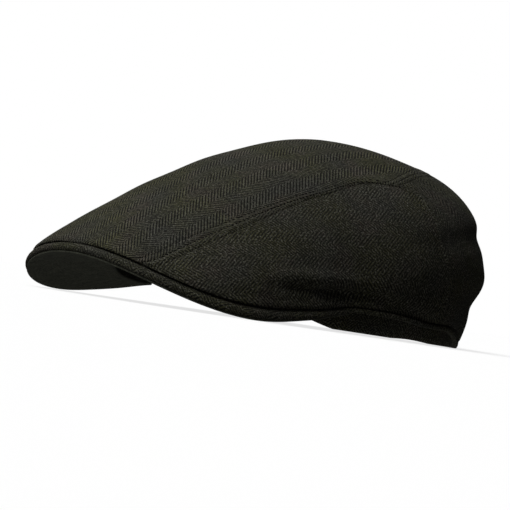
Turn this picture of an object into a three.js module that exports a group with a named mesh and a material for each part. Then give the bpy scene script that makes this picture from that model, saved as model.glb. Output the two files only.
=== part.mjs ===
// A soft flat cap, in millimetres, resting on its hem and on the sides of its peak.
// +Z is up, the peak points to -Y and the wearer's left is +X. Azimuths are in degrees round the head, 0 at the
// peak and 90 at the wearer's left.
import * as THREE from "three";
import { mergeVertices } from "three/addons/utils/BufferGeometryUtils.js";

// Head opening
const HEAD_LENGTH = 192.5;
const HEAD_WIDTH = 171;
const HEM_ARCH = 12;

// Crown
const CROWN_HEIGHT = 100.5;
const TOP_LENGTH = 123;
const TOP_WIDTH = 118;
const TOP_SETBACK = 16.5;
const TOP_TILT = 0.045;
const FOLD_DEPTH = 4;
const SEAM_TUCK = 0.5;

// Peak
const PEAK_FRONT = 145;
const PEAK_SHOULDER = 69.5;
const PEAK_WIDTH = 172.5;
const PEAK_ROUNDNESS = 2.3;
const PEAK_ARCH = 27;
const PEAK_PITCH = 0.107;
const PEAK_TIP = 72;
const LIP = 2.4;

// Cloth and clearances
const CLOTH = 2;
const PEAK_BOARD = 3.9;
const UNDERSIDE_CLOTH = 1.2;
const UNDERSIDE_INSET = 1;
const HEM_CLOTH = 1.4;
const HEM_SHOW = 2.4;
const HEM_TURN = 8;
const HEM_START = 1.2;
const HEM_ROUND = 0.8;
const RIM_ROUND = 0.3;
const REST_FLAT = 0.8;
const GAP = 0.3;

// Cloth colours
const TOP_COLOUR = 0x35342c;
const SIDE_COLOUR = 0x2b2b24;
const PLAIN_COLOUR = 0x1b1c17;
const CLOTH_ROUGHNESS = 0.95;

// The hem from the peak's end to the back. Height is a share of HEM_ARCH, and flare is a share of the head
// opening's radius.
const HEM_SECTIONS = [
  { azimuth: 60, height: 1, flare: 0 },
  { azimuth: 90, height: 0.97, flare: 0.01 },
  { azimuth: 110, height: 0.8, flare: 0 },
  { azimuth: 130, height: 0.7, flare: 0.03 },
  { azimuth: 152, height: 0, flare: 0.052 },
  { azimuth: 180, height: 0.12, flare: 0.015 },
];

// The crown's profile in each direction. Lean is its angle from level at the lower edge, and rise is how far it keeps
// that angle as a share of its height. Fold is the depth of the fold above the hem as a share of FOLD_DEPTH, foldAt
// its place as a share of the way from the top to the edge, and foldReach its half width as the same share.
const CROWN_SECTIONS = [
  { azimuth: 0, lean: 62.5, rise: 0.02, fold: 0, foldAt: 0.9, foldReach: 0.04 },
  { azimuth: 30, lean: 63.5, rise: 0.09, fold: 0, foldAt: 0.9, foldReach: 0.04 },
  { azimuth: 60, lean: 65.5, rise: 0.26, fold: 0.47, foldAt: 0.93, foldReach: 0.04 },
  { azimuth: 90, lean: 67, rise: 0.46, fold: 0.62, foldAt: 0.93, foldReach: 0.05 },
  { azimuth: 120, lean: 69.5, rise: 0.69, fold: 0.65, foldAt: 0.87, foldReach: 0.07 },
  { azimuth: 150, lean: 72, rise: 0.88, fold: 0.5, foldAt: 0.915, foldReach: 0.035 },
  { azimuth: 180, lean: 69, rise: 0.95, fold: 0.5, foldAt: 0.915, foldReach: 0.035 },
];

// Soft rolls of cloth over the back of the crown, the lower one proud and the upper one a shallow fold. Azimuth and
// share are the middle of a roll, spread and reach its half widths in those directions, and height is in millimetres.
const ROLLS = [
  { azimuth: 150, spread: 45, share: 0.69, reach: 0.045, height: -2.6 },
  { azimuth: 150, spread: 45, share: 0.835, reach: 0.05, height: 2.2 },
];

// Seams of the left half, from the lip of the peak to the corner and on down to the hem, and from the corner over
// the back of the top. Share is 0 at the top of the crown and 1 at its edge.
const SIDE_SEAM = [
  { azimuth: 18, share: 1 },
  { azimuth: 21, share: 0.88 },
  { azimuth: 25, share: 0.735 },
  { azimuth: 32, share: 0.588 },
  { azimuth: 41.5, share: 0.487 },
  { azimuth: 55, share: 0.433 },
  { azimuth: 70, share: 0.395 },
  { azimuth: 87, share: 0.408 },
];
const REAR_SEAM = [
  { azimuth: 87, share: 0.408 },
  { azimuth: 96.5, share: 0.425 },
  { azimuth: 102.5, share: 0.48 },
  { azimuth: 106, share: 0.61 },
  { azimuth: 110, share: 0.77 },
  { azimuth: 116.5, share: 0.88 },
  { azimuth: 115, share: 1 },
];
const CROSS_SEAM = [
  { azimuth: 87, share: 0.408 },
  { azimuth: 100, share: 0.37 },
  { azimuth: 122, share: 0.33 },
  { azimuth: 150, share: 0.32 },
];

// Cells of each piece
const LENGTHWAYS = 26;
const TOP_ACROSS = 24;
const SIDE_UP = 13;
const PEAK_STATIONS = 44;
const PEAK_CELLS = 4;
const HEM_STATIONS = 64;

const DEGREE = Math.PI / 180;
const BLEND_BEFORE = 14;
const BLEND_AFTER = 8;
const LIP_FADE = 30;
const LIP_LEAST = 0.35;
const BOARD_LEAST = 0.45;
const FOLD_FADE = 0.05;
const SEAM_RISE = 1.1;
const SLOPE_STEP = 0.002;
const FULL_TURN = 360;
const HALVINGS = 40;
const { clamp, lerp, smoothstep } = THREE.MathUtils;

// Gives a column of a table at an azimuth, smoothly between its rows and level at both ends.
function between(rows, column, azimuth) {
  const last = rows.length - 1;
  const at = clamp(azimuth, rows[0].azimuth, rows[last].azimuth);
  let i = 0;
  while (i < last - 1 && at > rows[i + 1].azimuth) i += 1;
  const span = rows[i + 1].azimuth - rows[i].azimuth;
  const slope = (k) => {
    if (k === 0 || k === last) return 0;
    return (rows[k + 1][column] - rows[k - 1][column]) / (rows[k + 1].azimuth - rows[k - 1].azimuth);
  };
  const s = (at - rows[i].azimuth) / span;
  const start = s * (1 - s) * (1 - s) * span * slope(i);
  const end = s * s * (s - 1) * span * slope(i + 1);
  return lerp(rows[i][column], rows[i + 1][column], smoothstep(s, 0, 1)) + start + end;
}

// Radius of the head opening, and of the hem round it.
function headRadius(azimuth) {
  const across = Math.sin(azimuth * DEGREE) / (HEAD_WIDTH / 2);
  const along = Math.cos(azimuth * DEGREE) / (HEAD_LENGTH / 2);
  return 1 / Math.hypot(across, along);
}

function hemRadius(azimuth) {
  return headRadius(azimuth) * (1 + between(HEM_SECTIONS, "flare", azimuth));
}

// Radius of the peak's outline, a rounded front with straight sides behind its shoulder.
function peakRadius(azimuth) {
  const across = Math.sin(azimuth * DEGREE) / (PEAK_WIDTH / 2);
  const along = Math.cos(azimuth * DEGREE);
  const depth = PEAK_FRONT - PEAK_SHOULDER;
  let low = 0;
  let high = PEAK_FRONT + PEAK_WIDTH;
  for (let step = 0; step < HALVINGS; step += 1) {
    const middle = (low + high) / 2;
    const side = Math.abs(middle * across) ** PEAK_ROUNDNESS;
    const front = Math.max((middle * along - PEAK_SHOULDER) / depth, 0) ** PEAK_ROUNDNESS;
    if (side + front < 1) low = middle;
    else high = middle;
  }
  return low;
}

// The lip and the board get thinner towards the ends of the peak.
function towardsTip(azimuth, least) {
  return lerp(least, 1, smoothstep(PEAK_TIP - azimuth, 0, LIP_FADE));
}

function boardThickness(azimuth) {
  return PEAK_BOARD * towardsTip(Math.abs(azimuth), BOARD_LEAST);
}

// Height of the peak's upper face over its front edge at a place in plan, before it is set down.
function peakRise(radius, azimuth) {
  const x = radius * Math.sin(azimuth * DEGREE);
  const forward = radius * Math.cos(azimuth * DEGREE);
  return PEAK_PITCH * (PEAK_FRONT - forward) - PEAK_ARCH * ((2 * x) / PEAK_WIDTH) ** 2;
}

// The peak is set down so far that its sides rest flat.
function peakFrontHeight() {
  let lowest = 0;
  for (let azimuth = 0; azimuth <= PEAK_TIP; azimuth += 1) {
    lowest = Math.min(lowest, peakRise(peakRadius(azimuth), azimuth) - boardThickness(azimuth));
  }
  return GAP + UNDERSIDE_CLOTH - REST_FLAT - lowest;
}
const PEAK_HEIGHT = peakFrontHeight();

// Lower edge of the crown: on the peak, just inside its lip, then down to the hem.
function crownEdge(azimuth) {
  const lip = LIP * towardsTip(azimuth, LIP_LEAST);
  const toHem = smoothstep(azimuth, PEAK_TIP - BLEND_BEFORE, PEAK_TIP + BLEND_AFTER);
  const front = peakRadius(azimuth) - lip;
  const onPeak = PEAK_HEIGHT + peakRise(front, azimuth) + SEAM_RISE;
  const hem = HEM_ARCH * between(HEM_SECTIONS, "height", azimuth) - REST_FLAT + HEM_SHOW + GAP;
  return {
    radius: lerp(front, hemRadius(azimuth), toHem),
    height: lerp(onPeak, hem, toHem),
    lip,
  };
}

function hump(x, middle, reach) {
  return Math.exp(-(((x - middle) / reach) ** 2));
}

// A point of the crown's outer face. The place (x, y) is in a disc of radius 1 whose middle is the top of the crown,
// whose rim is its lower edge and whose -y is the peak's side.
function crownPoint(place) {
  const share = place.length();
  const azimuth = Math.abs(Math.atan2(place.x, -place.y)) / DEGREE;
  const t = 1 - share;
  const edge = crownEdge(azimuth);
  const section = (column) => between(CROWN_SECTIONS, column, azimuth);
  const tall = section("rise") * (CROWN_HEIGHT - edge.height);
  const lean = section("lean") * DEGREE;
  const weights = [share ** 3, 3 * share * share * t, 3 * share * t * t, t ** 3];
  const inFold = hump(share, section("foldAt"), section("foldReach"));
  let proud = -FOLD_DEPTH * section("fold") * inFold * (1 - hump(t, 0, FOLD_FADE));
  for (const roll of ROLLS) {
    proud += roll.height * hump(azimuth, roll.azimuth, roll.spread) * hump(share, roll.share, roll.reach);
  }
  const radius = weights[0] * edge.radius + weights[1] * (edge.radius + tall * Math.cos(lean)) + proud;
  const direction = Math.atan2(place.x, -place.y);
  const topForward = (TOP_LENGTH / 2) * Math.cos(direction);
  const across = radius * Math.sin(direction) + weights[2] * (TOP_WIDTH / 2) * Math.sin(direction);
  const forward = radius * Math.cos(direction) + weights[2] * topForward;
  const back = TOP_SETBACK * (weights[2] + weights[3]);
  const sideHeight = weights[0] * edge.height + weights[1] * (edge.height + tall * Math.sin(lean));
  const topHeight = weights[2] * (CROWN_HEIGHT + TOP_TILT * topForward) + weights[3] * CROWN_HEIGHT;
  return new THREE.Vector3(across, back - forward, sideHeight + topHeight);
}

function crownNormal(place) {
  const step = (x, y) => crownPoint(new THREE.Vector2(place.x + x, place.y + y));
  const across = step(SLOPE_STEP, 0).sub(step(-SLOPE_STEP, 0));
  const along = step(0, SLOPE_STEP).sub(step(0, -SLOPE_STEP));
  return across.cross(along).normalize();
}

function discPlace(azimuth, share) {
  const direction = azimuth * DEGREE;
  return new THREE.Vector2(share * Math.sin(direction), -share * Math.cos(direction));
}

// A smooth seam through a table's rows, as a function of the share of its length.
function seamCurve(rows) {
  const places = rows.map((row) => discPlace(row.azimuth, row.share));
  const curve = new THREE.SplineCurve(places);
  return (s) => curve.getPointAt(s);
}
const mirrored = (curve) => (s) => curve(s).multiply(new THREE.Vector2(-1, 1));
const edgeCurve = (from, to) => (s) => discPlace(lerp(from, to, s), 1);

const sideSeam = seamCurve(SIDE_SEAM);
const rearSeam = seamCurve(REAR_SEAM);
const crossRows = CROSS_SEAM.map((row) => ({ azimuth: FULL_TURN - row.azimuth, share: row.share }));
const crossSeam = seamCurve([...crossRows, ...[...CROSS_SEAM].reverse()]);
const sideFront = SIDE_SEAM[0].azimuth;
const rearFoot = REAR_SEAM[REAR_SEAM.length - 1].azimuth;

// A smooth patch between four curves of the disc, south and north along u and west and east along v.
function patch({ south, north, west, east }) {
  return (u, v) => {
    const place = new THREE.Vector2();
    place.addScaledVector(south(u), 1 - v).addScaledVector(north(u), v);
    place.addScaledVector(west(v), 1 - u).addScaledVector(east(v), u);
    place.addScaledVector(south(0), -(1 - u) * (1 - v)).addScaledVector(south(1), -u * (1 - v));
    return place.addScaledVector(north(0), -(1 - u) * v).addScaledVector(north(1), -u * v);
  };
}

// Joins a grid of outer points and the same grid of inner points into one closed wall.
function wallGeometry(outer, inner) {
  const columns = outer.length - 1;
  const rows = outer[0].length - 1;
  const corners = [];
  const quad = (a, b, c, d) => corners.push(a, b, c, a, c, d);
  for (let i = 0; i < columns; i += 1) {
    for (let j = 0; j < rows; j += 1) {
      quad(outer[i][j], outer[i + 1][j], outer[i + 1][j + 1], outer[i][j + 1]);
      quad(inner[i][j], inner[i][j + 1], inner[i + 1][j + 1], inner[i + 1][j]);
    }
    quad(outer[i][0], inner[i][0], inner[i + 1][0], outer[i + 1][0]);
    quad(outer[i][rows], outer[i + 1][rows], inner[i + 1][rows], inner[i][rows]);
  }
  for (let j = 0; j < rows; j += 1) {
    quad(outer[0][j], outer[0][j + 1], inner[0][j + 1], inner[0][j]);
    quad(outer[columns][j], inner[columns][j], inner[columns][j + 1], outer[columns][j + 1]);
  }
  return closedGeometry(corners);
}

// Joins a row of closed outlines into one closed solid, capped at both ends.
function loftGeometry(outlines) {
  const corners = [];
  const count = outlines[0].length;
  for (let i = 0; i < outlines.length - 1; i += 1) {
    for (let k = 0; k < count; k += 1) {
      const next = (k + 1) % count;
      corners.push(outlines[i][k], outlines[i][next], outlines[i + 1][next]);
      corners.push(outlines[i][k], outlines[i + 1][next], outlines[i + 1][k]);
    }
  }
  const last = outlines[outlines.length - 1];
  for (let k = 0; 2 * k < count - 2; k += 1) {
    const across = count - 1 - k;
    corners.push(outlines[0][k], outlines[0][across], outlines[0][k + 1]);
    corners.push(last[k], last[k + 1], last[across]);
    if (across - 1 > k + 1) {
      corners.push(outlines[0][k + 1], outlines[0][across], outlines[0][across - 1]);
      corners.push(last[k + 1], last[across - 1], last[across]);
    }
  }
  return closedGeometry(corners);
}

function closedGeometry(corners) {
  const geometry = mergeVertices(new THREE.BufferGeometry().setFromPoints(corners));
  geometry.computeVertexNormals();
  return geometry;
}

// Moves a corner so that it lies the given distances inside two edges that meet there.
function miter(first, second) {
  const cosine = first.inward.dot(second.inward);
  const scale = 1 / (1 - cosine * cosine);
  const a = (first.distance - cosine * second.distance) * scale;
  const b = (second.distance - cosine * first.distance) * scale;
  return first.inward.clone().multiplyScalar(a).addScaledVector(second.inward, b);
}

// A panel of the crown. Seams names its sewn sides, which keep half the gap and are tucked in a little.
function panelGeometry(sides, columns, rows, seams, firstColumn = 0) {
  const at = patch(sides);
  const points = [];
  const normals = [];
  for (let i = firstColumn; i <= columns; i += 1) {
    const places = Array.from({ length: rows + 1 }, (_, j) => at(i / columns, j / rows));
    points.push(places.map(crownPoint));
    normals.push(places.map(crownNormal));
  }
  const lastColumn = points.length - 1;
  const inside = (i, j, along, side) => {
    const inward = new THREE.Vector3().crossVectors(normals[i][j], along).normalize();
    const distance = seams.includes(side) ? GAP / 2 : 0;
    return { inward, distance, sewn: distance > 0 };
  };
  const alongU = (i, j) => points[Math.min(i + 1, lastColumn)][j].clone().sub(points[Math.max(i - 1, 0)][j]);
  const alongV = (i, j) => points[i][Math.min(j + 1, rows)].clone().sub(points[i][Math.max(j - 1, 0)]);
  const moved = points.map((line, i) =>
    line.map((point, j) => {
      const edges = [];
      if (j === 0) edges.push(inside(i, j, alongU(i, j), "south"));
      if (i === lastColumn) edges.push(inside(i, j, alongV(i, j), "east"));
      if (j === rows) edges.push(inside(i, j, alongU(i, j).negate(), "north"));
      if (i === 0) edges.push(inside(i, j, alongV(i, j).negate(), "west"));
      const result = point.clone();
      if (edges.length === 1) result.addScaledVector(edges[0].inward, edges[0].distance);
      if (edges.length === 2) result.add(miter(edges[0], edges[1]));
      if (edges.some((edge) => edge.sewn)) result.addScaledVector(normals[i][j], -SEAM_TUCK);
      return result;
    }),
  );
  const inner = moved.map((line, i) => line.map((point, j) => point.clone().addScaledVector(normals[i][j], -CLOTH)));
  return wallGeometry(moved, inner);
}

function topPanelGeometry() {
  const sides = {
    south: edgeCurve(-sideFront, sideFront),
    north: crossSeam,
    west: mirrored(sideSeam),
    east: sideSeam,
  };
  return panelGeometry(sides, TOP_ACROSS, LENGTHWAYS, ["north", "west", "east"]);
}

// The left side panel runs from the peak's lip to the rear seam. Its first column is left out, because both of its
// long sides start at one point.
function leftSideGeometry() {
  const sides = {
    south: edgeCurve(sideFront, rearFoot),
    north: sideSeam,
    west: () => sideSeam(0),
    east: (v) => rearSeam(1 - v),
  };
  return panelGeometry(sides, LENGTHWAYS, SIDE_UP, ["north", "east"], 1);
}

function backPanelGeometry() {
  const sides = {
    south: edgeCurve(rearFoot, FULL_TURN - rearFoot),
    north: (u) => crossSeam(1 - u),
    west: (v) => rearSeam(1 - v),
    east: (v) => mirrored(rearSeam)(1 - v),
  };
  return panelGeometry(sides, TOP_ACROSS, SIDE_UP, ["north", "west", "east"]);
}

function mirroredGeometry(geometry) {
  const copy = geometry.toNonIndexed().deleteAttribute("normal");
  const position = copy.getAttribute("position");
  const corners = [];
  for (let k = 0; k < position.count; k += 3) {
    for (const corner of [k, k + 2, k + 1]) {
      corners.push(new THREE.Vector3().fromBufferAttribute(position, corner).multiply(new THREE.Vector3(-1, 1, 1)));
    }
  }
  return closedGeometry(corners);
}

// Height of the peak's upper face, lowered towards its ends as the crown's edge comes down to the hem.
function peakHeight(radius, azimuth) {
  const edge = crownEdge(Math.abs(azimuth));
  const lowered = PEAK_HEIGHT + peakRise(edge.radius, azimuth) + SEAM_RISE - edge.height;
  return PEAK_HEIGHT + peakRise(radius, azimuth) - lowered;
}

function ringPoint(azimuth, radius, height) {
  const direction = azimuth * DEGREE;
  return new THREE.Vector3(radius * Math.sin(direction), -radius * Math.cos(direction), height);
}

// One layer of the peak as a loft of sections from end to end. Its upper face lies depthAt below the peak's own, floor
// is the lowest that its underside may reach, and inset is how far it stays inside the lip.
function peakLayer({ depthAt, thicknessAt, inset, floor }) {
  const outlines = [];
  for (let i = 0; i <= PEAK_STATIONS; i += 1) {
    const azimuth = lerp(-PEAK_TIP, PEAK_TIP, i / PEAK_STATIONS);
    const edge = crownEdge(Math.abs(azimuth));
    const outer = edge.radius + edge.lip - inset;
    const inner = headRadius(azimuth);
    const depth = depthAt(azimuth);
    const thickness = thicknessAt(azimuth);
    const round = RIM_ROUND * thickness;
    const point = (radius, below) => {
      const height = peakHeight(radius, azimuth) - depth - below;
      const least = floor + (thickness - below);
      return ringPoint(azimuth, radius, Math.max(height, least));
    };
    const across = Array.from({ length: PEAK_CELLS + 1 }, (_, k) => lerp(inner, outer - round, k / PEAK_CELLS));
    const upper = across.map((radius) => point(radius, 0));
    const rim = [point(outer, round), point(outer, thickness - round)];
    const lower = across.map((radius) => point(radius, thickness)).reverse();
    outlines.push([...upper, ...rim, ...lower]);
  }
  return loftGeometry(outlines);
}

function peakGeometry() {
  return peakLayer({ depthAt: () => 0, thicknessAt: boardThickness, inset: 0, floor: UNDERSIDE_CLOTH + GAP });
}

function peakUndersideGeometry() {
  const depthAt = (azimuth) => boardThickness(azimuth) + GAP;
  return peakLayer({ depthAt, thicknessAt: () => UNDERSIDE_CLOTH, inset: UNDERSIDE_INSET, floor: 0 });
}

// The turned hem: a rounded edge under the panels and a strip up their inner face.
function hemBandGeometry() {
  const outlines = [];
  const startAngle = PEAK_TIP + HEM_START / (hemRadius(PEAK_TIP) * DEGREE);
  for (let i = 0; i <= HEM_STATIONS; i += 1) {
    const azimuth = lerp(startAngle, FULL_TURN - startAngle, i / HEM_STATIONS);
    const turn = HEM_TURN / (crownEdge(Math.min(azimuth, FULL_TURN - azimuth)).radius + CROWN_HEIGHT);
    const inFrom = (share, depth) => {
      const place = discPlace(azimuth, share);
      return crownPoint(place).addScaledVector(crownNormal(place), -depth);
    };
    const strip = CLOTH + SEAM_TUCK + 2 * GAP;
    const edge = inFrom(1, 0);
    const under = inFrom(1, strip + HEM_CLOTH);
    const floorAt = Math.max(edge.z - GAP - HEM_SHOW, 0);
    const level = (point, height) => new THREE.Vector3(point.x, point.y, height);
    outlines.push([
      level(edge, floorAt + HEM_ROUND),
      level(inFrom(1, HEM_ROUND), floorAt),
      level(inFrom(1, strip + HEM_CLOTH - HEM_ROUND), floorAt),
      level(under, floorAt + HEM_ROUND),
      inFrom(1 - turn / 2, strip + HEM_CLOTH),
      inFrom(1 - turn, strip + HEM_CLOTH),
      inFrom(1 - turn, strip),
      inFrom(1 - turn / 2, strip),
      level(inFrom(1, strip), edge.z - GAP),
      level(edge, edge.z - GAP),
    ]);
  }
  return loftGeometry(outlines);
}

function clothMesh(name, geometry, color) {
  const material = new THREE.MeshStandardMaterial({ color, roughness: CLOTH_ROUGHNESS, metalness: 0 });
  const mesh = new THREE.Mesh(geometry, material);
  mesh.name = name;
  return mesh;
}

const cap = new THREE.Group();
const leftSide = leftSideGeometry();
cap.add(clothMesh("top_panel", topPanelGeometry(), TOP_COLOUR));
cap.add(clothMesh("side_panel_left", leftSide, SIDE_COLOUR));
cap.add(clothMesh("side_panel_right", mirroredGeometry(leftSide), SIDE_COLOUR));
cap.add(clothMesh("back_panel", backPanelGeometry(), SIDE_COLOUR));
cap.add(clothMesh("peak", peakGeometry(), SIDE_COLOUR));
cap.add(clothMesh("peak_underside", peakUndersideGeometry(), PLAIN_COLOUR));
cap.add(clothMesh("hem_band", hemBandGeometry(), SIDE_COLOUR));

// The origin is below the middle of the cap, on the surface that it rests on.
const box = new THREE.Box3().setFromObject(cap);
cap.position.set(0, -(box.min.y + box.max.y) / 2, -box.min.z);

export default cap;
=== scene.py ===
import math

import bpy
import numpy as np
from mathutils import Matrix, Vector


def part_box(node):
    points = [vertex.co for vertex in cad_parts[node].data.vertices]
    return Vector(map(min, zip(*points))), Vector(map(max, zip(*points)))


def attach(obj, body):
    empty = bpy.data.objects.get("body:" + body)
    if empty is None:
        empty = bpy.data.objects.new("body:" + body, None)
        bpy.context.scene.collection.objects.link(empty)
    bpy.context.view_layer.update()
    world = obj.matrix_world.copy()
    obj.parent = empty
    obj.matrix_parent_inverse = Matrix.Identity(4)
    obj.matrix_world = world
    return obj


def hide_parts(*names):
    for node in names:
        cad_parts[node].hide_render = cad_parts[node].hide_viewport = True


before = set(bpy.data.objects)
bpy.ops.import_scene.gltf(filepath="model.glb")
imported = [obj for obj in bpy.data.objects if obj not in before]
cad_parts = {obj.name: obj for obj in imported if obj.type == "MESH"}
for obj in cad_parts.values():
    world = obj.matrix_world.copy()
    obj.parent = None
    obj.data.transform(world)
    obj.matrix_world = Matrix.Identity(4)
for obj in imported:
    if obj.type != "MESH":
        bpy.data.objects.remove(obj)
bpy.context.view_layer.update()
MM = 0.001

# Head opening, crown and peak, as in the CAD
HEAD_LENGTH = 192.5
HEAD_WIDTH = 171.0
HEM_ARCH = 12.0
CROWN_HEIGHT = 100.5
TOP_LENGTH = 123.0
TOP_WIDTH = 118.0
TOP_SETBACK = 16.5
TOP_TILT = 0.045
FOLD_DEPTH = 4.0
PEAK_FRONT = 145.0
PEAK_SHOULDER = 69.5
PEAK_WIDTH = 172.5
PEAK_ROUNDNESS = 2.3
PEAK_ARCH = 27.0
PEAK_PITCH = 0.107
PEAK_TIP = 72.0
LIP = 2.4
CLOTH = 2.0
PEAK_BOARD = 3.9
UNDERSIDE_CLOTH = 1.2
UNDERSIDE_INSET = 1.0
HEM_CLOTH = 1.4
HEM_SHOW = 2.4
HEM_TURN = 8.0
REST_FLAT = 0.8
GAP = 0.3
BLEND_BEFORE = 14.0
BLEND_AFTER = 8.0
LIP_FADE = 30.0
LIP_LEAST = 0.35
BOARD_LEAST = 0.45
FOLD_FADE = 0.05
SEAM_RISE = 1.1
SHIFT = Vector((0.0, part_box("peak")[0].y / MM + PEAK_FRONT, 0.0))

HEM_SECTIONS = {
    "azimuth": (60, 90, 110, 130, 152, 180),
    "height": (1, 0.97, 0.8, 0.7, 0, 0.12),
    "flare": (0, 0.01, 0, 0.03, 0.052, 0.015),
}
CROWN_SECTIONS = {
    "azimuth": (0, 30, 60, 90, 120, 150, 180),
    "lean": (62.5, 63.5, 65.5, 67, 69.5, 72, 69),
    "rise": (0.02, 0.09, 0.26, 0.46, 0.69, 0.88, 0.95),
    "fold": (0, 0, 0.47, 0.62, 0.65, 0.5, 0.5),
    "fold_at": (0.9, 0.9, 0.93, 0.93, 0.87, 0.915, 0.915),
    "fold_reach": (0.04, 0.04, 0.04, 0.05, 0.07, 0.035, 0.035),
}
ROLLS = {
    "azimuth": (150, 150),
    "spread": (45, 45),
    "share": (0.69, 0.835),
    "reach": (0.045, 0.05),
    "height": (-2.6, 2.2),
}

# The gap between layers that touch, and how many degrees of the hem's ends lie in the peak's ends
LAYER_GAP = GAP / 4
HEM_OVERLAP = 2.5

# Seams as rows of azimuth and share of the way from the top of the crown to its edge
SEAM_MEETING = (87, 0.408)
SIDE_SEAM = (
    (18, 1), (21, 0.88), (25, 0.735), (32, 0.588), (41.5, 0.487), (55, 0.433), (70, 0.395), SEAM_MEETING,
)
REAR_SEAM = (SEAM_MEETING, (96.5, 0.425), (102.5, 0.48), (106, 0.61), (110, 0.77), (116.5, 0.88), (115, 1))
CROSS_SEAM = (SEAM_MEETING, (100, 0.37), (122, 0.33), (150, 0.32))
SIDE_TIP = 0.03

# How finely curves and pieces are made
HALVINGS = 40
PLACE_STEP = 0.002
CURVE_SAMPLES = 401
SEAM_SAMPLES = 500
ROW_SAMPLES = 900
CREASE_SAMPLES = 80
TOP_CELLS = ((150, 0.72), (220, 0.7))
SIDE_CELLS = ((200, 0.7), (120, 0.6))
BACK_CELLS = ((220, 0.7), (130, 0.6))
PEAK_STATIONS = 360
PEAK_CELLS = 40
PEAK_CROWDING = 1.5
RIM_CELLS = 10
RIM_SHARE = 0.5
HEM_STATIONS = 400
HEM_ARC = 8
HEM_STRIPS = 4
HEM_SQUARENESS = 0.5
TINY = 1e-6


def smooth(x, low, high):
    t = np.clip((x - low) / (high - low), 0, 1)
    return t * t * (3 - 2 * t)


def hump(x, middle, reach):
    return np.exp(-(((x - middle) / reach) ** 2))


def between(table, column, azimuth):
    """A column of a table at azimuths, smoothly between its rows and level at both ends."""
    xs = np.array(table["azimuth"], float)
    ys = np.array(table[column], float)
    slopes = np.zeros(len(xs))
    slopes[1:-1] = (ys[2:] - ys[:-2]) / (xs[2:] - xs[:-2])
    at = np.clip(azimuth, xs[0], xs[-1])
    i = np.clip(np.searchsorted(xs, at, side="right") - 1, 0, len(xs) - 2)
    span = xs[i + 1] - xs[i]
    s = (at - xs[i]) / span
    start = s * (1 - s) ** 2 * span * slopes[i]
    end = s * s * (s - 1) * span * slopes[i + 1]
    return ys[i] + (ys[i + 1] - ys[i]) * s * s * (3 - 2 * s) + start + end


def head_radius(azimuth):
    a = np.radians(azimuth)
    return 1 / np.hypot(np.sin(a) / (HEAD_WIDTH / 2), np.cos(a) / (HEAD_LENGTH / 2))


def hem_radius(azimuth):
    return head_radius(azimuth) * (1 + between(HEM_SECTIONS, "flare", azimuth))


def peak_radius(azimuth):
    """Plan radius of the peak's outline, found by halving."""
    a = np.radians(azimuth)
    low = np.zeros(np.shape(azimuth))
    high = np.full(np.shape(azimuth), PEAK_FRONT + PEAK_WIDTH)
    for _ in range(HALVINGS):
        middle = (low + high) / 2
        side = np.abs(middle * np.sin(a) / (PEAK_WIDTH / 2)) ** PEAK_ROUNDNESS
        forward = (middle * np.cos(a) - PEAK_SHOULDER) / (PEAK_FRONT - PEAK_SHOULDER)
        inside = side + np.maximum(forward, 0) ** PEAK_ROUNDNESS < 1
        low = np.where(inside, middle, low)
        high = np.where(inside, high, middle)
    return low


def towards_tip(azimuth, least):
    return least + (1 - least) * smooth(PEAK_TIP - azimuth, 0, LIP_FADE)


def board_thickness(azimuth):
    return PEAK_BOARD * towards_tip(np.abs(azimuth), BOARD_LEAST)


def peak_rise(radius, azimuth):
    a = np.radians(azimuth)
    across = 2 * radius * np.sin(a) / PEAK_WIDTH
    return PEAK_PITCH * (PEAK_FRONT - radius * np.cos(a)) - PEAK_ARCH * across**2


OUTLINE = np.arange(0.0, PEAK_TIP + 1)
LOWEST = float(np.min(peak_rise(peak_radius(OUTLINE), OUTLINE) - board_thickness(OUTLINE)))
PEAK_HEIGHT = GAP + UNDERSIDE_CLOTH - REST_FLAT - LOWEST


def crown_edge(azimuth):
    """Radius and height of the crown's lower edge, and the width of the lip outside it."""
    lip = LIP * towards_tip(azimuth, LIP_LEAST)
    to_hem = smooth(azimuth, PEAK_TIP - BLEND_BEFORE, PEAK_TIP + BLEND_AFTER)
    front = peak_radius(azimuth) - lip
    on_peak = PEAK_HEIGHT + peak_rise(front, azimuth) + SEAM_RISE
    hem = HEM_ARCH * between(HEM_SECTIONS, "height", azimuth) - REST_FLAT + HEM_SHOW + GAP
    radius = front + (hem_radius(azimuth) - front) * to_hem
    return radius, on_peak + (hem - on_peak) * to_hem, lip


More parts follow.
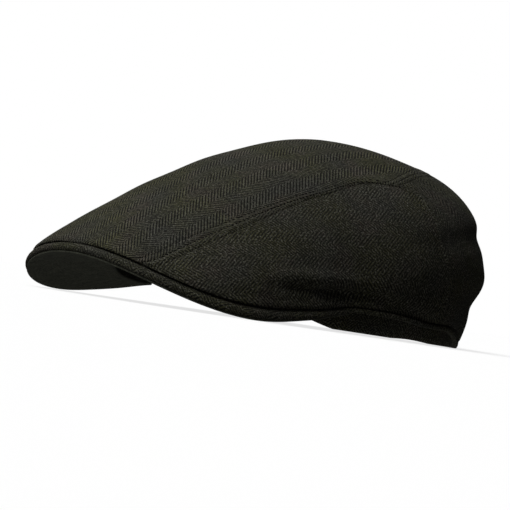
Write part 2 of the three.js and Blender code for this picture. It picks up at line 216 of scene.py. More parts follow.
def crown_point(place):
    """Points of the crown's outer face. Places lie in a disc of radius 1 round the top of the crown."""
    x, y = place[..., 0], place[..., 1]
    share = np.hypot(x, y)
    direction = np.arctan2(x, -y)
    azimuth = np.degrees(np.abs(direction))
    t = 1 - share
    edge_radius, edge_height, _ = crown_edge(azimuth)
    tall = between(CROWN_SECTIONS, "rise", azimuth) * (CROWN_HEIGHT - edge_height)
    lean = np.radians(between(CROWN_SECTIONS, "lean", azimuth))
    w0, w1, w2, w3 = share**3, 3 * share * share * t, 3 * share * t * t, t**3
    fold_at = between(CROWN_SECTIONS, "fold_at", azimuth)
    in_fold = hump(share, fold_at, between(CROWN_SECTIONS, "fold_reach", azimuth))
    proud = -FOLD_DEPTH * between(CROWN_SECTIONS, "fold", azimuth) * in_fold * (1 - hump(t, 0, FOLD_FADE))
    for middle, spread, at, reach, height in zip(*ROLLS.values()):
        proud = proud + height * hump(azimuth, middle, spread) * hump(share, at, reach)
    radius = w0 * edge_radius + w1 * (edge_radius + tall * np.cos(lean)) + proud
    top_forward = TOP_LENGTH / 2 * np.cos(direction)
    across = radius * np.sin(direction) + w2 * TOP_WIDTH / 2 * np.sin(direction)
    forward = radius * np.cos(direction) + w2 * top_forward
    back = TOP_SETBACK * (w2 + w3)
    side_height = w0 * edge_height + w1 * (edge_height + tall * np.sin(lean))
    top_height = w2 * (CROWN_HEIGHT + TOP_TILT * top_forward) + w3 * CROWN_HEIGHT
    return np.stack([across, back - forward, side_height + top_height], -1)


def pointing(azimuth, elevation):
    """A unit vector from the head towards an azimuth and a height above the horizon, in degrees."""
    a, e = math.radians(azimuth), math.radians(elevation)
    return Vector((math.sin(a) * math.cos(e), -math.cos(a) * math.cos(e), math.sin(e)))


def unit(vectors):
    return vectors / np.maximum(np.linalg.norm(vectors, axis=-1, keepdims=True), TINY)


def crown_slopes(place):
    """How far the crown's outer face goes for a small step of the place to each side, along x and along y."""
    dx = np.array([PLACE_STEP, 0.0])
    dy = np.array([0.0, PLACE_STEP])
    across = crown_point(place + dx) - crown_point(place - dx)
    along = crown_point(place + dy) - crown_point(place - dy)
    return across, along


def crown_normal(place):
    return unit(np.cross(*crown_slopes(place)))


def disc_place(azimuth, share):
    a = np.radians(azimuth)
    return np.stack([share * np.sin(a), -share * np.cos(a)], -1)


def seam_curve(rows):
    """A smooth seam through a table's rows, as a function of the share of its length."""
    points = np.array([disc_place(azimuth, share) for azimuth, share in rows])
    padded = np.vstack([points[:1], points, points[-1:]])
    fine = np.linspace(0, len(points) - 1, CURVE_SAMPLES)
    i = np.minimum(fine.astype(int), len(points) - 2)
    s = (fine - i)[:, None]
    p0, p1, p2, p3 = (padded[i + k] for k in range(4))
    m1, m2 = (p2 - p0) / 2, (p3 - p1) / 2
    line = (2 * s**3 - 3 * s**2 + 1) * p1 + (s**3 - 2 * s**2 + s) * m1
    line = line + (3 * s**2 - 2 * s**3) * p2 + (s**3 - s**2) * m2
    run = np.concatenate([[0], np.cumsum(np.linalg.norm(np.diff(line, axis=0), axis=1))])
    return lambda at: np.stack([np.interp(np.asarray(at) * run[-1], run, line[:, k]) for k in range(2)], -1)


def mirrored(curve):
    return lambda at: curve(at) * np.array([-1.0, 1.0])


def edge_curve(start, end):
    return lambda at: disc_place(start + (end - start) * np.asarray(at), np.ones(np.shape(at)))


side_seam = seam_curve(SIDE_SEAM)
rear_seam = seam_curve(REAR_SEAM)
cross_seam = seam_curve([(360 - azimuth, share) for azimuth, share in CROSS_SEAM] + list(CROSS_SEAM[::-1]))
SEAMS = (side_seam, mirrored(side_seam), rear_seam, mirrored(rear_seam), cross_seam)
SEAM_POINTS = np.concatenate([crown_point(seam(np.linspace(0, 1, SEAM_SAMPLES))) for seam in SEAMS])
SIDE_FRONT = SIDE_SEAM[0][0]
REAR_FOOT = REAR_SEAM[-1][0]


def patch(south, north, west, east, u, v):
    """Places of a smooth patch between four curves, south and north along u and west and east along v."""
    uu, vv = u[:, None, None], v[None, :, None]
    s, n = south(u)[:, None, :], north(u)[:, None, :]
    w, e = west(v)[None, :, :], east(v)[None, :, :]
    corners = (1 - uu) * (1 - vv) * south(0.0) + uu * (1 - vv) * south(1.0)
    corners = corners + (1 - uu) * vv * north(0.0) + uu * vv * north(1.0)
    return s * (1 - vv) + n * vv + w * (1 - uu) + e * uu - corners


def spaced(cells, crowding, start=0.0):
    """Shares from start to 1 that lie closer together towards both ends."""
    s = np.linspace(0, 1, cells + 1)
    s = s - crowding * np.sin(2 * np.pi * s) / (2 * np.pi)
    return start + (1 - start) * s


def run_along(points, axis):
    """Length from the first point along an axis of a grid of points."""
    steps = np.linalg.norm(np.diff(points, axis=axis), axis=-1)
    first = np.zeros_like(np.take(steps, [0], axis=axis))
    return np.concatenate([first, np.cumsum(steps, axis=axis)], axis=axis)


def add_mesh(name, points, faces, uv):
    """A smooth piece from points and the places of its cloth, both in millimetres."""
    mesh = bpy.data.meshes.new(name)
    placed = (np.asarray(points) + np.array(SHIFT)) * MM
    faces = np.asarray(faces)
    mesh.vertices.add(len(placed))
    mesh.vertices.foreach_set("co", placed.astype(np.float32).ravel())
    mesh.loops.add(faces.size)
    mesh.loops.foreach_set("vertex_index", faces.astype(np.int32).ravel())
    mesh.polygons.add(len(faces))
    mesh.polygons.foreach_set("loop_start", np.arange(0, faces.size, faces.shape[1], dtype=np.int32))
    mesh.update(calc_edges=True)
    mesh.validate()
    mesh.polygons.foreach_set("use_smooth", np.ones(len(mesh.polygons), bool))
    layer = mesh.uv_layers.new(name="cloth")
    layer.uv.foreach_set("vector", (np.asarray(uv)[faces.ravel()] * MM).astype(np.float32).ravel())
    piece = bpy.data.objects.new(name, mesh)
    bpy.context.scene.collection.objects.link(piece)
    return piece


def wall_faces(columns, rows):
    """Faces of a closed wall whose outer grid of points is followed by its inner one."""
    def grid(offset):
        index = np.arange((columns + 1) * (rows + 1)).reshape(columns + 1, rows + 1) + offset
        quads = [index[:-1, :-1], index[1:, :-1], index[1:, 1:], index[:-1, 1:]]
        return index, np.stack([q.ravel() for q in quads], -1)

    outer, outer_faces = grid(0)
    inner, inner_faces = grid(outer.size)

    def border(a, b):
        return np.stack([a[1:], a[:-1], b[:-1], b[1:]], -1)

    return np.concatenate([
        outer_faces,
        inner_faces[:, ::-1],
        border(outer[:, 0], inner[:, 0]),
        border(outer[::-1, -1], inner[::-1, -1]),
        border(outer[-1, :], inner[-1, :]),
        border(outer[0, ::-1], inner[0, ::-1]),
    ])


# Relief of the cloth at the seams and along the edges
SEAM_VALLEY = 0.26
SEAM_VALLEY_REACH = 0.45
SEAM_PUFF = 0.24
SEAM_PUFF_AT = 1.9
SEAM_PUFF_REACH = 1.2
STITCH_ROW = 4.6
STITCH_GROOVE = 0.36
STITCH_GROOVE_REACH = 0.4
EDGE_TUCK = 1.0
EDGE_TUCK_REACH = 1.3

# Stitches, and small pale tacks in the seams whose pale colour is a painted highlight on the seam's stitches
STITCH_LENGTH = 2.9
STITCH_GAP = 1.0
STITCH_FROM = 0.03
STITCH_TO = 0.97
STITCH_CLEAR = 0.96
THREAD = 0.19
THREAD_RISE = 1.9
THREAD_SINK = 1.6
THREAD_END = 0.35
THREAD_RINGS = 7
THREAD_SIDES = 6
TACK_LENGTH = 1.0
TACK = 0.2

# The fold over the end of the peak, the dimples of the crown and its soft ripples
CREASE = {
    "azimuth": (41, 46, 51, 56, 61, 66, 70.5, 75.5, 81.5, 87.5, 92, 96, 104, 109.5),
    "share": (0.84, 0.85, 0.86, 0.87, 0.89, 0.905, 0.92, 0.93, 0.945, 0.965, 0.975, 0.98, 0.99, 1),
    "depth": (0, 0.9, 2.1, 3.2, 3.9, 3.7, 2.7, 1.9, 2.0, 2.3, 2.2, 1.6, 1.0, 0.3),
}
CREASE_REACH = 2.9
CREASE_PUFF = 0.45
CREASE_PUFF_AT = 2.3 * CREASE_REACH
CREASE_PUFF_REACH = 1.3 * CREASE_REACH
DIMPLES = {
    "azimuth": (68, 81.5, 89, 128.5),
    "share": (0.295, 0.305, 0.345, 0.31),
    "depth": (0.9, 0.9, 0.8, 0.9),
    "reach": (9, 8, 8, 10),
}
RIPPLES = {
    "length": (61, 47, 38, 29, 23),
    "turn": (20, 75, 130, 175, 50),
    "lean": (10, 50, 20, 60, 35),
    "height": (0.16, 0.14, 0.12, 0.1, 0.07),
}

# The flat layout that the weave follows
FLAT_CELLS = (41, 33)
FLAT_ROUNDS = 30
FLAT_PULL = 0.12


def seam_relief(distance):
    """Height of the cloth over its smooth form at a distance from a seam with a row of stitches beside it."""
    valley = -SEAM_VALLEY * hump(distance, 0, SEAM_VALLEY_REACH)
    puff = SEAM_PUFF * hump(distance, SEAM_PUFF_AT, SEAM_PUFF_REACH)
    groove = -STITCH_GROOVE * hump(distance, STITCH_ROW, STITCH_GROOVE_REACH)
    return valley + puff + groove


def edge_relief(distance):
    return -EDGE_TUCK * hump(distance, 0, EDGE_TUCK_REACH)


def crown_relief(points):
    """Height of the folds, dimples and soft ripples over the crown's smooth form."""
    folded = np.array(points)
    folded[..., 0] = np.abs(folded[..., 0])
    azimuth = np.linspace(CREASE["azimuth"][0], CREASE["azimuth"][-1], CREASE_SAMPLES)
    line = crown_point(disc_place(azimuth, between(CREASE, "share", azimuth)))
    away = np.linalg.norm(folded[..., None, :] - line, axis=-1)
    beside_line = np.argmin(away, axis=-1)
    depth = between(CREASE, "depth", azimuth)[beside_line]
    nearest = np.min(away, axis=-1)
    over = smooth(folded[..., 2] - line[beside_line, 2], 0, CREASE_REACH)
    height = -depth * hump(nearest, 0, CREASE_REACH)
    height += CREASE_PUFF * depth * over * hump(nearest, CREASE_PUFF_AT, CREASE_PUFF_REACH)
    for around, share, deep, reach in zip(*DIMPLES.values()):
        middle = crown_point(disc_place(np.array(float(around)), np.array(share)))
        height -= deep * hump(np.linalg.norm(folded - middle, axis=-1), 0, reach)
    for length, turn, lean, tall in zip(*RIPPLES.values()):
        along = np.array(pointing(turn, lean))
        height += tall * np.sin(2 * np.pi * (points @ along) / length + turn)
    return height


def steps_between(fine, coarse):
    """Weights that carry values at evenly spaced shares to fine ones, smoothly."""
    count = len(coarse)
    at = np.clip((fine - coarse[0]) / (coarse[1] - coarse[0]), 0, count - 1)
    i = np.minimum(at.astype(int), count - 2)
    s = at - i
    weights = np.zeros((len(fine), count))
    rows = np.arange(len(fine))
    basis = (-s**3 + 2 * s**2 - s, 3 * s**3 - 5 * s**2 + 2, -3 * s**3 + 4 * s**2 + s, s**3 - s**2)
    for k, part in enumerate(basis):
        np.add.at(weights, (rows, np.clip(i + k - 1, 0, count - 1)), part / 2)
    return weights


def laid_flat(curves, u, v, grain):
    """Coordinates of a panel's cloth laid flat, across and along the grain, with its lengths nearly kept.

    Without a grain, the columns start out along the patch's own lines.
    """
    coarse_u = np.linspace(u[0], u[-1], FLAT_CELLS[0])
    coarse_v = np.linspace(v[0], v[-1], FLAT_CELLS[1])
    form = crown_point(patch(*curves, coarse_u, coarse_v))
    if grain is None:
        wide = run_along(form, 0)
        flat = np.stack([wide - wide[FLAT_CELLS[0] // 2], run_along(form, 1)], -1)
    else:
        facing = unit(crown_normal(patch(*curves, coarse_u, coarse_v)).mean((0, 1)))
        along = unit(np.array(grain) - facing * np.dot(grain, facing))
        flat = np.stack([form @ np.cross(along, facing), form @ along], -1)
    whole, ahead, behind = slice(None), slice(1, None), slice(None, -1)
    pairs = (
        ((ahead, whole), (behind, whole)),
        ((whole, ahead), (whole, behind)),
        ((ahead, ahead), (behind, behind)),
        ((ahead, behind), (behind, ahead)),
    )
    lengths = [np.linalg.norm(form[a] - form[b], axis=-1) for a, b in pairs]
    for _ in range(FLAT_ROUNDS):
        move = np.zeros_like(flat)
        for (a, b), length in zip(pairs, lengths):
            gap = flat[a] - flat[b]
            now = np.maximum(np.linalg.norm(gap, axis=-1), TINY)
            change = gap * ((length - now) / now)[..., None] * FLAT_PULL
            move[a] += change
            move[b] -= change
        flat = flat + move
    return np.einsum("ia,jb,abk->ijk", steps_between(u, coarse_u), steps_between(v, coarse_v), flat)


def panel(name, curves, u, v, seams, grain=(0.0, 1.0, 0.0)):
    """A crown panel as a closed wall of cloth. Seams names its sewn sides, and columns follow the grain."""
    places = patch(*curves, u, v)
    base = crown_point(places)
    normals = crown_normal(places)
    along_u = run_along(base, 0)
    along_v = run_along(base, 1)
    distance = {
        "west": along_u,
        "east": along_u[-1:, :] - along_u,
        "south": along_v,
        "north": along_v[:, -1:] - along_v,
    }
    height = crown_relief(base)
    for side, away in distance.items():
        height += seam_relief(away) if side in seams else edge_relief(away)
    outer = base + normals * height[..., None]
    inner = base - normals * (CLOTH - np.minimum(height, 0))[..., None]
    uv = laid_flat(curves, u, v, grain).reshape(-1, 2)
    points = np.concatenate([outer.reshape(-1, 3), inner.reshape(-1, 3)])
    return add_mesh(name, points, wall_faces(len(u) - 1, len(v) - 1), np.concatenate([uv, uv]))


def backwards(curve):
    return lambda at: curve(1 - np.asarray(at))


def top_panel():
    curves = (edge_curve(-SIDE_FRONT, SIDE_FRONT), cross_seam, mirrored(side_seam), side_seam)
    u, v = (spaced(*cells) for cells in TOP_CELLS)
    return panel("crown_top", curves, u, v, ("north", "west", "east"))


def side_panel(side):
    """A side panel from its narrow tip at the lip of the peak to the rear seam."""
    u = spaced(*SIDE_CELLS[0], SIDE_TIP)
    v = spaced(*SIDE_CELLS[1])
    edge = edge_curve(SIDE_FRONT, REAR_FOOT)
    rear = backwards(rear_seam)

    def tip(at):
        return np.broadcast_to(side_seam(0.0), np.shape(at) + (2,))

    if side == "left":
        return panel("crown_side_left", (edge, side_seam, tip, rear), u, v, ("north", "east"))

    curves = (mirrored(backwards(edge)), mirrored(backwards(side_seam)), mirrored(rear), mirrored(tip))
    return panel("crown_side_right", curves, 1 - u[::-1], v, ("north", "west"))


def back_panel():
    west = backwards(rear_seam)
    curves = (edge_curve(REAR_FOOT, 360 - REAR_FOOT), backwards(cross_seam), west, mirrored(west))
    u, v = (spaced(*cells) for cells in BACK_CELLS)
    return panel("crown_back", curves, u, v, ("north", "west", "east"), grain=None)


def beside(curve, at, offset):
    """Places beside a seam, an offset in millimetres to the side of its run."""
    place = curve(at)
    after = crown_point(curve(np.minimum(at + PLACE_STEP, 1)))
    before = crown_point(curve(np.maximum(at - PLACE_STEP, 0)))
    aside = unit(np.cross(after - before, crown_normal(place))) * offset
    across, along = (slope / (2 * PLACE_STEP) for slope in crown_slopes(place))
    xx, xy, yy = (across * across).sum(-1), (across * along).sum(-1), (along * along).sum(-1)
    bx, by = (across * aside).sum(-1), (along * aside).sum(-1)
    area = xx * yy - xy * xy
    return place + np.stack([(bx * yy - by * xy) / area, (by * xx - bx * xy) / area], -1)


def stitch_row(curve, offset, start, end, length=STITCH_LENGTH, radius=THREAD):
    """One row of stitches, each a short six-sided thread that dips into the cloth at its ends."""
    fine = np.linspace(start, end, ROW_SAMPLES)
    places = beside(curve, fine, offset)
    clear = np.linalg.norm(crown_point(places)[:, None] - SEAM_POINTS, axis=-1).min(1)
    places = places[clear >= STITCH_CLEAR * abs(offset)]
    run = run_along(crown_point(places)[None], 1)[0]
    pitch = STITCH_LENGTH + STITCH_GAP
    count = int(run[-1] // pitch)
    share = np.linspace(0, 1, THREAD_RINGS)
    at = (np.arange(count)[:, None] + 0.5) * pitch + (share[None, :] - 0.5) * length
    place = np.stack([np.interp(at, run, places[:, k]) for k in range(2)], -1)
    middle = crown_point(place)
    normal = crown_normal(place)
    bend = np.sin(np.pi * share)[None, :, None] ** 0.5
    cloth_height = seam_relief(abs(offset)) + crown_relief(middle)[..., None]
    middle = middle + normal * (cloth_height + radius * (THREAD_RISE * bend - THREAD_SINK))
    forward = unit(np.gradient(middle, axis=1))
    side = unit(np.cross(forward, normal))
    up = np.cross(side, forward)
    angle = np.linspace(0, 2 * np.pi, THREAD_SIDES, endpoint=False)
    thick = radius * (THREAD_END + (1 - THREAD_END) * bend)
    ring = np.cos(angle)[:, None] * side[:, :, None, :] + np.sin(angle)[:, None] * up[:, :, None, :]
    points = middle[:, :, None, :] + thick[..., None] * ring
    index = np.arange(count * THREAD_RINGS * THREAD_SIDES).reshape(count, THREAD_RINGS, THREAD_SIDES)
    after = np.roll(index, -1, axis=2)
    walls = np.stack([index[:, :-1], after[:, :-1], after[:, 1:], index[:, 1:]], -1).reshape(-1, 4)
    caps = [index[:, 0][:, order] for order in ((3, 2, 1, 0), (5, 4, 3, 0))]
    caps += [index[:, -1][:, order] for order in ((0, 1, 2, 3), (0, 3, 4, 5))]
    around = np.broadcast_to(angle * radius, at.shape + (THREAD_SIDES,))
    uv = np.stack([np.broadcast_to(at[..., None], around.shape), around], -1)
    return points.reshape(-1, 3), np.concatenate([walls] + caps), uv.reshape(-1, 2)


def stitches(name, rows):
    """All rows of stitches beside some seams as one mesh."""
    points, faces, uvs = [], [], []
    first = 0
    for row in rows:
        made, joined, uv = stitch_row(*row)
        points.append(made)
        faces.append(joined + first)
        uvs.append(uv)
        first += len(made)
    return add_mesh(name, np.concatenate(points), np.concatenate(faces), np.concatenate(uvs))


def ring_point(azimuth, radius, height):
    a = np.radians(azimuth)
    return np.stack([radius * np.sin(a), -radius * np.cos(a), height], -1)


def peak_height(radius, azimuth):
    edge_radius, edge_height, _ = crown_edge(np.abs(azimuth))
    return peak_rise(radius, azimuth) - peak_rise(edge_radius, azimuth) - SEAM_RISE + edge_height


def loft(name, outlines, uv):
    """A closed solid through closed outlines, an array of stations by points."""
    stations, count = outlines.shape[:2]
    index = np.arange(stations * count).reshape(stations, count)
    after = np.roll(index, -1, axis=1)
    faces = np.stack([index[:-1], after[:-1], after[1:], index[1:]], -1).reshape(-1, 4)
    half = count // 2
    k = np.arange(half - 1)
    first = np.stack([index[0, k], index[0, count - 1 - k], index[0, count - 2 - k], index[0, k + 1]], -1)
    last = np.stack([index[-1, k], index[-1, k + 1], index[-1, count - 2 - k], index[-1, count - 1 - k]], -1)
    return add_mesh(name, outlines.reshape(-1, 3), np.concatenate([faces, first, last]), uv.reshape(-1, 2))


def peak_layer(name, depth_at, thickness_at, inset, floor):
    """One layer of the peak, a loft of sections with a round rim from end to end."""
    azimuth = np.linspace(-PEAK_TIP, PEAK_TIP, PEAK_STATIONS + 1)[:, None]
    edge_radius, _, lip = crown_edge(np.abs(azimuth))
    outer = edge_radius + lip - inset
    inner = head_radius(azimuth)
    depth = depth_at(azimuth)
    thickness = thickness_at(azimuth)
    rim = RIM_SHARE * thickness
    share = 1 - (1 - np.linspace(0, 1, PEAK_CELLS + 1)) ** PEAK_CROWDING
    across = inner + (outer - rim - inner) * share[None, :]
    angles = np.linspace(0, math.pi, RIM_CELLS + 1)[1:-1]
    rim_radius = outer - rim + rim * np.sin(angles)[None, :]
    rim_below = thickness * (1 - np.cos(angles)[None, :]) / 2
    radius = np.concatenate([across, rim_radius, across[:, ::-1]], 1)
    below = np.concatenate([
        np.zeros_like(across),
        np.broadcast_to(rim_below, rim_radius.shape),
        np.broadcast_to(thickness, across.shape),
    ], 1)
    azimuths = np.broadcast_to(azimuth, radius.shape)
    height = peak_height(radius, azimuths) - depth - below
    height = np.maximum(height, floor + thickness - below)
    points = ring_point(azimuths, radius, height)
    run = run_along(points[:, PEAK_CELLS:PEAK_CELLS + 1], 0)
    around = run_along(points, 1)
    uv = np.stack([np.broadcast_to(run, radius.shape), around], -1)
    return loft(name, points, uv)


def peak_board():
    return peak_layer("peak_lip", np.zeros_like, board_thickness, 0, UNDERSIDE_CLOTH + LAYER_GAP)


def peak_lining():
    def depth(azimuth):
        return board_thickness(azimuth) + LAYER_GAP

    def thickness(azimuth):
        return np.full_like(azimuth, UNDERSIDE_CLOTH)

    return peak_layer("peak_under", depth, thickness, UNDERSIDE_INSET, 0)


def hem_band():
    """The turned hem, a round edge under the panels and a strip inside them. Its ends lie in the peak."""
    start = PEAK_TIP - HEM_OVERLAP
    azimuth = np.linspace(start, 360 - start, HEM_STATIONS + 1)
    whole = np.ones_like(azimuth)
    folded = np.minimum(azimuth, 360 - azimuth)
    turn = HEM_TURN / (crown_edge(folded)[0] + CROWN_HEIGHT)
    strip = CLOTH + GAP

    def in_from(share, depth):
        place = disc_place(azimuth, share)
        return crown_point(place) - crown_normal(place) * depth

    edge = in_from(whole, 0.0)
    floor_at = np.maximum(edge[:, 2] - GAP - HEM_SHOW, 0)
    half_width = (strip + HEM_CLOTH) / 2
    middle = in_from(whole, half_width)
    outward = unit(edge - in_from(whole, strip + HEM_CLOTH))
    points = []
    for angle in np.linspace(0, math.pi, HEM_ARC + 1):
        side = math.copysign(abs(math.cos(angle)) ** HEM_SQUARENESS, math.cos(angle))
        low = math.sin(angle) ** HEM_SQUARENESS if 0 < angle < math.pi else 0
        point = middle + outward * half_width * side
        point[:, 2] = floor_at + HEM_SHOW * (1 - low)
        points.append(point)
    steps = np.arange(1, HEM_STRIPS + 1) / HEM_STRIPS
    for step in steps:
        points.append(in_from(1 - turn * step, strip + HEM_CLOTH))
    for step in steps[::-1]:
        points.append(in_from(1 - turn * step, strip))
    inner_top = in_from(whole, strip)
    inner_top[:, 2] = edge[:, 2] - LAYER_GAP
    points.append(inner_top)
    outlines = np.stack(points, 1)
    run = run_along(outlines[:, :1], 0)
    uv = np.stack([np.broadcast_to(run, outlines.shape[:2]), run_along(outlines, 1)], -1)
    return loft("hem_edge", outlines, uv)


# Cloth. Widths are in millimetres. A noise has a scale in cycles per metre, a detail and a roughness, and a
# spread has the two values of a noise that become 0 and 1.
YARN = 0.52
YARN_ROUND = 3.4
COLUMN_YARNS = 14.0
TWILL = 4.0
SWAY = 1.6
WEFT_SHIFT = 0.37
CELL_SHIFTS = (0.731, 57.13)
PLAIN_YARN = 0.6
THREAD_TWIST = 0.5
NOISE = {
    "sway": (70.0, 2.0, 0.5),
    "fuzz": (2600.0, 3.0, 0.6),
    "speckle": (580.0, 2.0, 0.6),
    "patches": (45.0, 3.0, 0.6),
    "mottle": (28.0, 2.0, 0.5),
    "stain": (47.0, 2.0, 0.5),
    "hairs": (1150.0, 1.0, 0.5),
    "plain_patches": (150.0, 3.0, 0.6),
    "plain_fuzz": (900.0, 3.0, 0.6),
    "thread": (400.0, 2.0, 0.5),
}
SPREAD = {
    "speckle": (0.38, 0.62),
    "mottle": (0.35, 0.65),
    "stain": (0.5, 0.66),
    "plain": (0.35, 0.65),
}
HAIR_SPREAD = 0.1

# How much each part of a cloth counts in its brightness, and in the height that bump reads
WEAVE_TONE = {"yarn": 0.5, "cell": 0.8, "fuzz": 0.4, "speckle": 0.9}
PATCH_TONE = {"least": 0.55, "gain": 0.9}
# Painted shade: the cloth's colour darkens in the hollows between its round yarns
YARN_HOLLOW_SHADE = {"least": 0.3, "gain": 0.7}
PLAIN_TONE = {"least": 0.3, "weave": 0.15, "patches": 0.4, "fuzz": 0.9}
THREAD_TONE = {"least": 0.5, "noise": 1.0, "ply": 0.25}
FUZZ_HEIGHT = 0.5
WEAVE_BUMP = {"strength": 0.9, "depth": 0.26}
PLAIN_BUMP = {"strength": 0.4, "depth": 0.1}
THREAD_BUMP = {"strength": 0.5, "depth": 0.1}
WOOL_ROUGHNESS = 0.9
THREAD_ROUGHNESS = 0.6


def colour(r, g, b):
    return (r, g, b, 1.0)


DARK = colour(0.004, 0.004, 0.0027)
OLIVE = colour(0.078, 0.077, 0.038)
GREY = colour(0.066, 0.066, 0.053)
BROWN = colour(0.075, 0.0665, 0.05)
HAIR = colour(0.235, 0.23, 0.195)
PLAIN = colour(0.057, 0.059, 0.0435)
THREAD_COLOUR = colour(0.01, 0.01, 0.0075)
# Pale colour of the tacks: a painted highlight on the seam's stitches
TACK_HIGHLIGHT_COLOUR = colour(0.16, 0.155, 0.12)
WOOL_SHEEN = {
    "Specular IOR Level": 0.12,
    "Sheen Weight": 0.02,
    "Sheen Roughness": 0.5,
    "Sheen Tint": colour(0.75, 0.75, 0.68),
}


class Nodes:
    """Short calls that add a material's shader nodes and join them."""

    def __init__(self, name):
        self.material = bpy.data.materials.new(name)
        self.material.use_nodes = True
        self.tree = self.material.node_tree
        self.shader = self.tree.nodes["Principled BSDF"]
        self.uv = self.node("ShaderNodeUVMap", uv_map="cloth").outputs["UV"]
        self.across, self.along, _ = self.node("ShaderNodeSeparateXYZ", {0: self.uv}).outputs

    def node(self, kind, inputs=None, **settings):
        made = self.tree.nodes.new(kind)
        for key, value in settings.items():
            setattr(made, key, value)
        for key, value in (inputs or {}).items():
            self.feed(made.inputs[key], value)
        return made

    def feed(self, socket, value):
        if isinstance(value, bpy.types.NodeSocket):
            self.tree.links.new(value, socket)
        else:
            socket.default_value = value

    def math(self, operation, *values):
        return self.node("ShaderNodeMath", dict(enumerate(values)), operation=operation).outputs[0]

    def total(self, least, *parts):
        """A least value plus each part, a value and its weight."""
        for value, weight in parts:
            least = self.math("ADD", least, self.math("MULTIPLY", value, weight))
        return least

    def choose(self, second, first_value, second_value):
        """One number where second is 0 and another where it is 1."""
        return self.node("ShaderNodeMix", {0: second, 2: first_value, 3: second_value}).outputs[0]

    def noise(self, name):
        scale, detail, roughness = NOISE[name]
        made = self.node("ShaderNodeTexNoise", {
            "Vector": self.uv,
            "Scale": scale,
            "Detail": detail,
            "Roughness": roughness,
        })
        return made.outputs["Fac"]

    def spread(self, value, low, high):
        """A value stretched so that low becomes 0 and high becomes 1."""
        return self.node("ShaderNodeMapRange", {0: value, 1: low, 2: high}).outputs[0]

    def scatter(self, value):
        """A value from 0 to 1 that looks random, the same wherever the value given is the same."""
        made = self.node("ShaderNodeTexWhiteNoise", {"W": value}, noise_dimensions="1D")
        return made.outputs["Value"]

    def blend(self, factor, first, second):
        made = self.node("ShaderNodeMix", {0: factor, 6: first, 7: second}, data_type="RGBA")
        return made.outputs[2]

    def tinted(self, base, tone):
        """A colour times a brightness."""
        shade = self.node("ShaderNodeCombineXYZ", {0: tone, 1: tone, 2: tone}).outputs[0]
        made = self.node(
            "ShaderNodeMix", {0: 1.0, 6: base, 7: shade}, data_type="RGBA", blend_type="MULTIPLY"
        )
        return made.outputs[2]

    def finish(self, base, height, bump, roughness):
        """The finished material, with its colour, its bump and the faint sheen of wool."""
        made = self.node("ShaderNodeBump", {
            "Strength": bump["strength"],
            "Distance": bump["depth"] * MM,
            "Height": height,
        })
        self.feed(self.shader.inputs["Normal"], made.outputs[0])
        self.feed(self.shader.inputs["Base Color"], base)
        self.feed(self.shader.inputs["Roughness"], roughness)
        for socket, value in WOOL_SHEEN.items():
            self.feed(self.shader.inputs[socket], value)
        return self.material


def herringbone(name, hairiness, hair_from, softness, shade):
    """Woven herringbone: light weft yarns over dark warp yarns in twill whose slant turns at each column.

    Pale hairs lie over both, and softness blurs one into the other. Shade darkens the whole cloth as painted
    shade, for panels that lie in less light.
    """
    n = Nodes(name)

    def roundness(yarns):
        off_middle = n.math("ABSOLUTE", n.math("SUBTRACT", n.math("FRACT", yarns), 0.5))
        return n.math("POWER", off_middle, 2.0)

    sway = n.math("MULTIPLY", n.math("SUBTRACT", n.noise("sway"), 0.5), SWAY * MM)
    warp = n.math("DIVIDE", n.math("ADD", n.across, sway), YARN * MM)
    weft = n.math("DIVIDE", n.math("SUBTRACT", n.along, sway), YARN * MM)
    i = n.math("FLOOR", warp)
    j = n.math("FLOOR", weft)
    odd = n.math("FLOORED_MODULO", n.math("FLOOR", n.math("DIVIDE", i, COLUMN_YARNS)), 2.0)
    slant = n.math("SUBTRACT", 1.0, n.math("MULTIPLY", odd, 2.0))
    step = n.math("ADD", n.math("ADD", j, odd), n.math("MULTIPLY", i, slant))
    over = n.math("LESS_THAN", n.math("FLOORED_MODULO", step, TWILL), TWILL / 2)
    hollow = n.math("MULTIPLY", n.choose(over, roundness(warp), roundness(weft)), YARN_ROUND)
    hill = n.math("SUBTRACT", 1.0, hollow)

    yarn = n.choose(over, n.scatter(i), n.scatter(n.math("ADD", j, WEFT_SHIFT)))
    cell = n.scatter(n.total(0.0, (i, CELL_SHIFTS[0]), (j, CELL_SHIFTS[1])))
    fuzz = n.noise("fuzz")
    speckle = n.spread(n.noise("speckle"), *SPREAD["speckle"])
    tone = n.total(
        0.0,
        (yarn, WEAVE_TONE["yarn"]),
        (cell, WEAVE_TONE["cell"]),
        (fuzz, WEAVE_TONE["fuzz"]),
        (speckle, WEAVE_TONE["speckle"]),
    )
    tone = n.math("MULTIPLY", tone, n.total(PATCH_TONE["least"], (n.noise("patches"), PATCH_TONE["gain"])))
    # Painted shade in the hollows between yarns, where each yarn rounds down
    tone = n.math("MULTIPLY", tone, n.total(YARN_HOLLOW_SHADE["least"], (hill, YARN_HOLLOW_SHADE["gain"])))

    mottle = n.spread(n.noise("mottle"), *SPREAD["mottle"])
    stain = n.spread(n.noise("stain"), *SPREAD["stain"])
    light = n.blend(stain, n.blend(mottle, OLIVE, GREY), BROWN)
    light_share = n.total(softness / 2, (over, 1 - softness))
    # shade darkens the whole cloth as painted shade
    cloth = n.tinted(n.blend(light_share, DARK, light), n.math("MULTIPLY", tone, shade))
    hairs = n.spread(n.noise("hairs"), hair_from, hair_from + HAIR_SPREAD)
    base = n.blend(n.math("MULTIPLY", hairs, hairiness), cloth, HAIR)
    height = n.total(n.math("ADD", hill, over), (fuzz, FUZZ_HEIGHT))
    return n.finish(base, height, WEAVE_BUMP, WOOL_ROUGHNESS)


